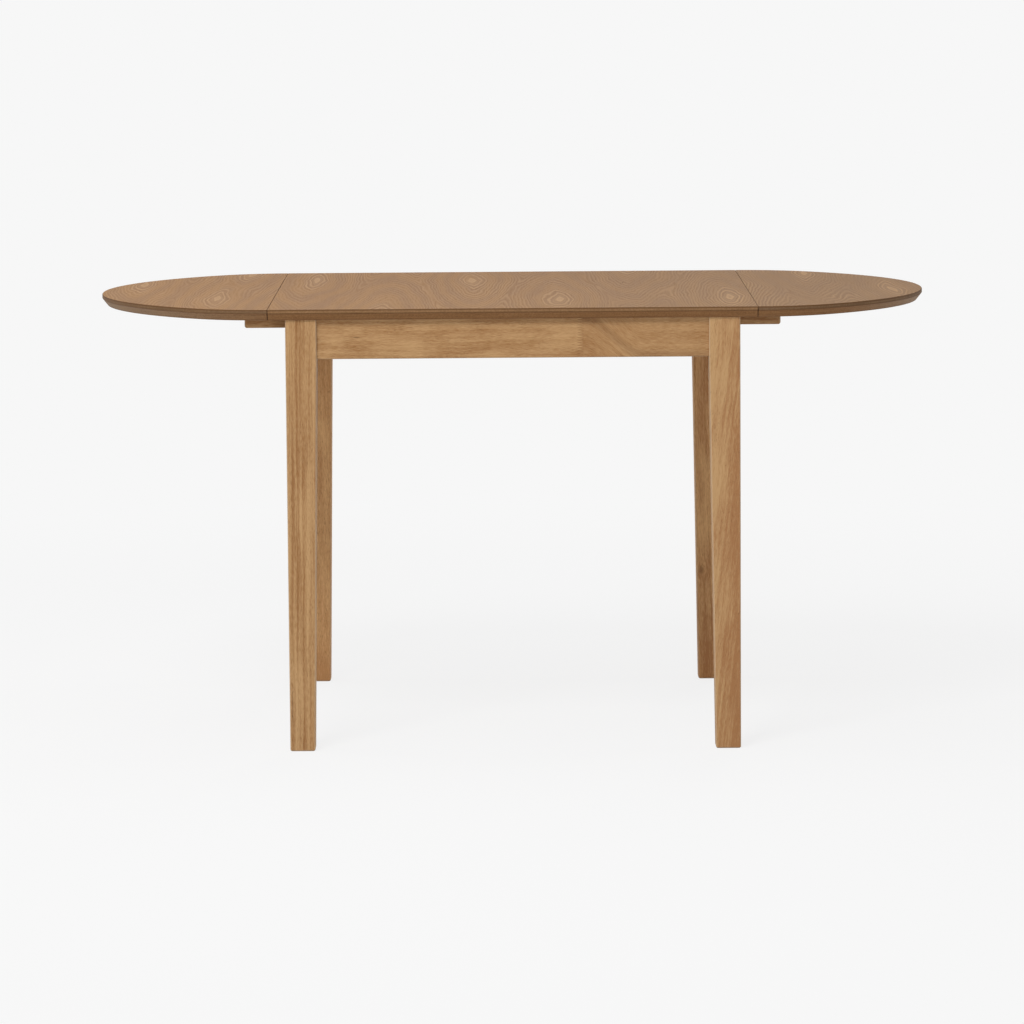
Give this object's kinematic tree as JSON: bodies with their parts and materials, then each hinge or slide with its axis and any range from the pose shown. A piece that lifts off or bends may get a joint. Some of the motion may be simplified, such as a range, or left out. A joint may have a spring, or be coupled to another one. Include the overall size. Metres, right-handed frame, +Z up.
{
  "type": "drop-leaf dining table",
  "caption": "Oval dining table with a square centre on tapered wooden legs and rounded end leaves that fold down, each held up by sliding support bars.",
  "frame": {"origin": "on the floor under the middle of the top", "axes": "+X along the table towards the right leaf, +Y from the front apron to the rear apron, +Z up"},
  "size_m": [1.3954, 0.8, 0.73],
  "materials": {
    "top_veneer": "satin lacquered veneer",
    "frame_wood": "satin lacquered solid wood",
    "hidden_wood": "plain sanded solid wood",
    "hinge_steel": "nickel-plated steel",
    "bolt_steel": "zinc-plated steel"
  },
  "bodies": {
    "frame": {"centre_top": "top_veneer", "front_left_leg": "frame_wood", "front_right_leg": "frame_wood", "rear_left_leg": "frame_wood", "rear_right_leg": "frame_wood", "front_apron": "frame_wood", "rear_apron": "frame_wood", "left_apron": "frame_wood", "right_apron": "frame_wood", "front_left_corner_block": "hidden_wood", "front_right_corner_block": "hidden_wood", "rear_left_corner_block": "hidden_wood", "rear_right_corner_block": "hidden_wood", "front_left_support_guide": "hidden_wood", "front_right_support_guide": "hidden_wood", "rear_left_support_guide": "hidden_wood", "rear_right_support_guide": "hidden_wood", "front_top_cleat": "hidden_wood", "rear_top_cleat": "hidden_wood", "leg_bolts": "bolt_steel", "leg_bolt_washers": "bolt_steel", "left_front_hinge_frame_plate": "hinge_steel", "left_middle_hinge_frame_plate": "hinge_steel", "left_rear_hinge_frame_plate": "hinge_steel", "right_front_hinge_frame_plate": "hinge_steel", "right_middle_hinge_frame_plate": "hinge_steel", "right_rear_hinge_frame_plate": "hinge_steel", "left_front_hinge_pin": "hinge_steel", "left_middle_hinge_pin": "hinge_steel", "left_rear_hinge_pin": "hinge_steel", "right_front_hinge_pin": "hinge_steel", "right_middle_hinge_pin": "hinge_steel", "right_rear_hinge_pin": "hinge_steel"},
    "left_leaf_body": {"left_leaf": "top_veneer", "left_front_hinge_leaf_plate": "hinge_steel", "left_middle_hinge_leaf_plate": "hinge_steel", "left_rear_hinge_leaf_plate": "hinge_steel"},
    "right_leaf_body": {"right_leaf": "top_veneer", "right_front_hinge_leaf_plate": "hinge_steel", "right_middle_hinge_leaf_plate": "hinge_steel", "right_rear_hinge_leaf_plate": "hinge_steel"},
    "front_left_bar_body": {"front_left_support_bar": "frame_wood", "front_left_stop_block": "hidden_wood"},
    "front_right_bar_body": {"front_right_support_bar": "frame_wood", "front_right_stop_block": "hidden_wood"},
    "rear_left_bar_body": {"rear_left_support_bar": "frame_wood", "rear_left_stop_block": "hidden_wood"},
    "rear_right_bar_body": {"rear_right_support_bar": "frame_wood", "rear_right_stop_block": "hidden_wood"}
  },
  "joints": [
    {"name": "left_leaf_fold", "type": "hinge", "parent": "frame", "child": "left_leaf_body", "pos_m": [-0.3994, 0, 0.70865], "axis": [0, -1, 0], "range_deg": [0, 90]},
    {"name": "right_leaf_fold", "type": "hinge", "parent": "frame", "child": "right_leaf_body", "pos_m": [0.3994, 0, 0.70865], "axis": [0, 1, 0], "range_deg": [0, 90]},
    {"name": "front_left_bar_slide", "type": "slide", "parent": "frame", "child": "front_left_bar_body", "axis": [1, 0, 0], "range_m": [0, 0.165]},
    {"name": "front_right_bar_slide", "type": "slide", "parent": "frame", "child": "front_right_bar_body", "axis": [-1, 0, 0], "range_m": [0, 0.165]},
    {"name": "rear_left_bar_slide", "type": "slide", "parent": "frame", "child": "rear_left_bar_body", "axis": [1, 0, 0], "range_m": [0, 0.165]},
    {"name": "rear_right_bar_slide", "type": "slide", "parent": "frame", "child": "rear_right_bar_body", "axis": [-1, 0, 0], "range_m": [0, 0.165]}
  ],
  "couplings": [
    {"joint": "front_left_bar_slide", "follows": "left_leaf_fold", "m_per_rad": 0.10504},
    {"joint": "front_right_bar_slide", "follows": "right_leaf_fold", "m_per_rad": 0.10504},
    {"joint": "rear_left_bar_slide", "follows": "left_leaf_fold", "m_per_rad": 0.10504},
    {"joint": "rear_right_bar_slide", "follows": "right_leaf_fold", "m_per_rad": 0.10504}
  ]
}
